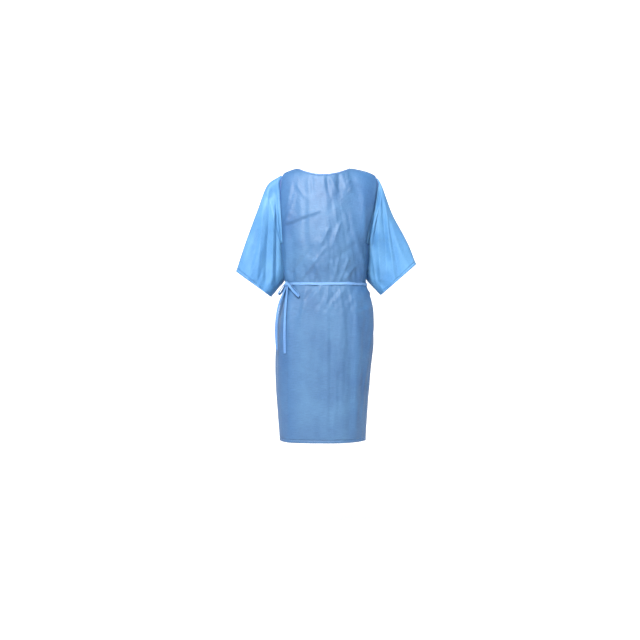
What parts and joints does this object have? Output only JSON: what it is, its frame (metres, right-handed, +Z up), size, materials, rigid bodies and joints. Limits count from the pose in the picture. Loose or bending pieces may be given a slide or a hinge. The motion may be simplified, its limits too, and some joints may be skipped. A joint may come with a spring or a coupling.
{
  "type": "patient gown",
  "caption": "Short-sleeved patient gown of thin blue nonwoven cloth with a lapped back opening, a round neck and a flat waist belt tied in a side bow.",
  "frame": {"origin": "midway between the two points where the neck edge meets the shoulders, where the gown rests on its wearer", "axes": "+Z up, the front faces -Y, +X is the wearer's left"},
  "size_m": [0.716, 0.262, 1.085],
  "materials": {
    "body_cloth": "matt blue spunbonded nonwoven",
    "sleeve_cloth": "matt blue spunbonded nonwoven, lit through",
    "edge_cloth": "turned and stitched nonwoven",
    "belt_cloth": "folded nonwoven strip, several layers",
    "hook_tape": "moulded hook tape",
    "loop_tape": "knitted loop tape"
  },
  "bodies": {
    "gown": {"front_panel": "body_cloth", "front_hem": "edge_cloth", "back_panel_left": "body_cloth", "back_facing_left": "edge_cloth", "back_panel_right": "body_cloth", "back_facing_right": "edge_cloth", "shoulder_seam_left": "edge_cloth", "side_seam_left": "edge_cloth", "armhole_seam_left": "edge_cloth", "shoulder_seam_right": "edge_cloth", "side_seam_right": "edge_cloth", "armhole_seam_right": "edge_cloth", "neck_binding": "edge_cloth", "neck_hook_patch": "hook_tape", "neck_loop_patch": "loop_tape", "waist_belt": "belt_cloth", "belt_knot": "belt_cloth", "bow_loop_front": "belt_cloth", "bow_loop_side": "belt_cloth"},
    "flap_left": {"back_flap_left": "body_cloth", "flap_facing_left": "edge_cloth", "flap_hem_left": "edge_cloth"},
    "flap_right": {"back_flap_right": "body_cloth", "flap_facing_right": "edge_cloth", "flap_hem_right": "edge_cloth"},
    "sleeve_left": {"sleeve_left": "sleeve_cloth", "underarm_seam_left": "sleeve_cloth", "sleeve_hem_left": "sleeve_cloth"},
    "sleeve_right": {"sleeve_right": "sleeve_cloth", "underarm_seam_right": "sleeve_cloth", "sleeve_hem_right": "sleeve_cloth"},
    "tail_front": {"belt_tail_front": "belt_cloth"},
    "tail_side": {"belt_tail_side": "belt_cloth"}
  },
  "joints": [
    {"name": "sleeve_left_raise", "type": "hinge", "parent": "gown", "child": "sleeve_left", "pos_m": [0.1704, 0, -0.04], "axis": [0, -1, 0], "range_deg": [0, 30]},
    {"name": "sleeve_right_raise", "type": "hinge", "parent": "gown", "child": "sleeve_right", "pos_m": [-0.1704, 0, -0.04], "axis": [0, 1, 0], "range_deg": [0, 30]},
    {"name": "flap_left_swing", "type": "hinge", "parent": "gown", "child": "flap_left", "pos_m": [0.1965, 0.0194, -0.64], "axis": [-0.0516, 0, -0.9987], "range_deg": [0, 40]},
    {"name": "flap_right_swing", "type": "hinge", "parent": "gown", "child": "flap_right", "pos_m": [-0.1965, 0.0194, -0.64], "axis": [-0.0516, 0, 0.9987], "range_deg": [0, 16]},
    {"name": "tail_front_swing", "type": "hinge", "parent": "gown", "child": "tail_front", "pos_m": [-0.1506, -0.057, -0.4734], "axis": [-0.9781, 0.2079, 0], "range_deg": [0, 50]},
    {"name": "tail_side_swing", "type": "hinge", "parent": "gown", "child": "tail_side", "pos_m": [-0.1564, -0.0488, -0.4734], "axis": [-0.342, 0.9397, 0], "range_deg": [0, 50]}
  ],
  "couplings": [
    {"joint": "flap_right_swing", "follows": "flap_left_swing", "ratio": 0.4}
  ]
}
